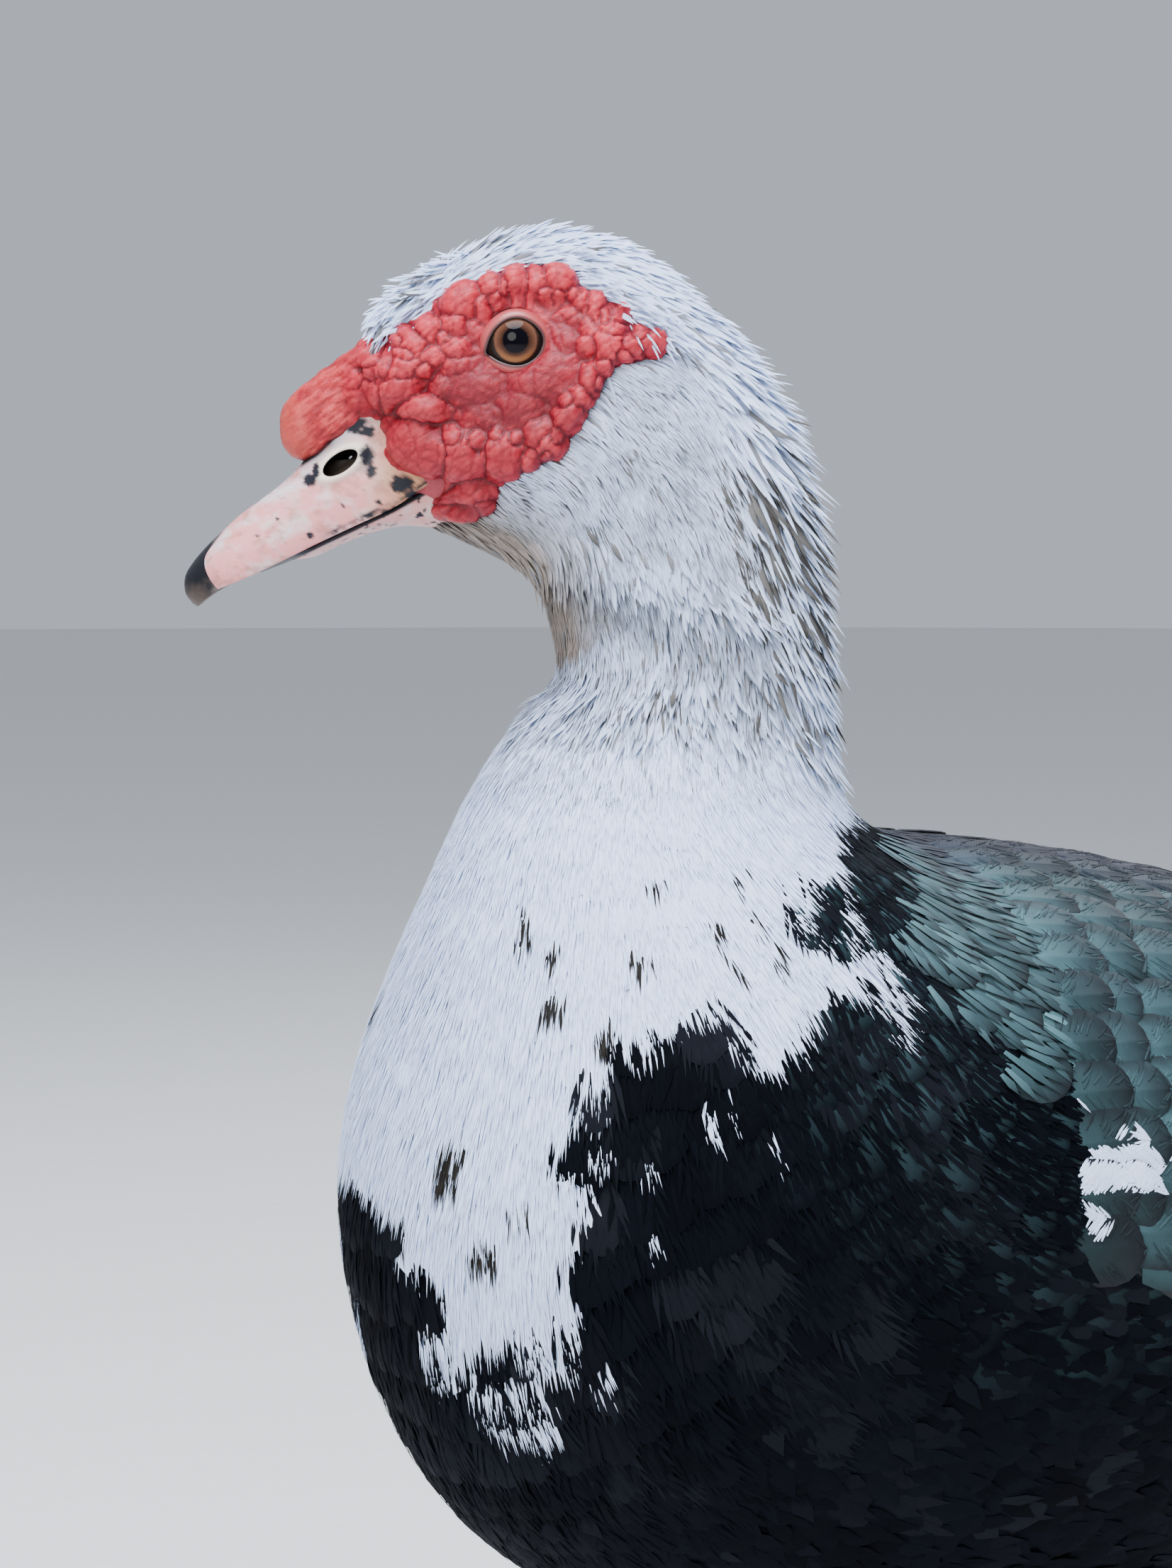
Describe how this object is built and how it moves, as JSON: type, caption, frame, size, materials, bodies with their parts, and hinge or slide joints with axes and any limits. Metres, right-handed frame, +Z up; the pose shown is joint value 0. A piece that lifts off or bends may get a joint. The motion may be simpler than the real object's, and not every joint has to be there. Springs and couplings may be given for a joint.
{
  "type": "muscovy duck",
  "caption": "Life-size still model of a standing muscovy drake, head turned, with knobbed bill, red caruncled face, nape crest, folded wings and webbed feet",
  "frame": {"origin": "middle of the whole bird as seen from above, on the floor under its soles", "axes": "+Z up, the bird faces -X, its left side is -Y"},
  "size_m": [0.577, 0.214, 0.4545],
  "materials": {
    "plumage_white": "short white feathers, softly shaded",
    "plumage_black": "blue-black feathers with a low sheen",
    "plumage_green": "black feathers with a green gloss",
    "skin_red": "bare red skin in bulbs and folds",
    "bill_horn": "pink horny skin with a soft gloss",
    "nail_horn": "smooth dark horn",
    "eye_brown": "clear wet gloss over a brown iris and a black pupil",
    "leg_skin": "scaly grey-black skin with yellowish patches",
    "claw_horn": "dark horn"
  },
  "bodies": {
    "root": {"head": "plumage_white", "neck_upper": "plumage_white", "neck_lower": "plumage_white", "crest_crown": "plumage_white", "crest_nape": "plumage_white", "breast": "plumage_black", "belly": "plumage_black", "rump": "plumage_black", "thigh_left": "plumage_black", "thigh_right": "plumage_black", "tail": "plumage_black", "wing_left": "plumage_green", "wing_right": "plumage_green", "face_left": "skin_red", "face_right": "skin_red", "knob": "skin_red", "bill_upper": "bill_horn", "bill_lower": "bill_horn", "bill_nail": "nail_horn", "eye_left": "eye_brown", "eye_right": "eye_brown", "tarsus_left": "leg_skin", "foot_left": "leg_skin", "claw_left_middle": "claw_horn", "claw_left_outer": "claw_horn", "claw_left_inner": "claw_horn", "claw_left_hind": "claw_horn", "tarsus_right": "leg_skin", "foot_right": "leg_skin", "claw_right_middle": "claw_horn", "claw_right_outer": "claw_horn", "claw_right_inner": "claw_horn", "claw_right_hind": "claw_horn"}
  },
  "joints": []
}
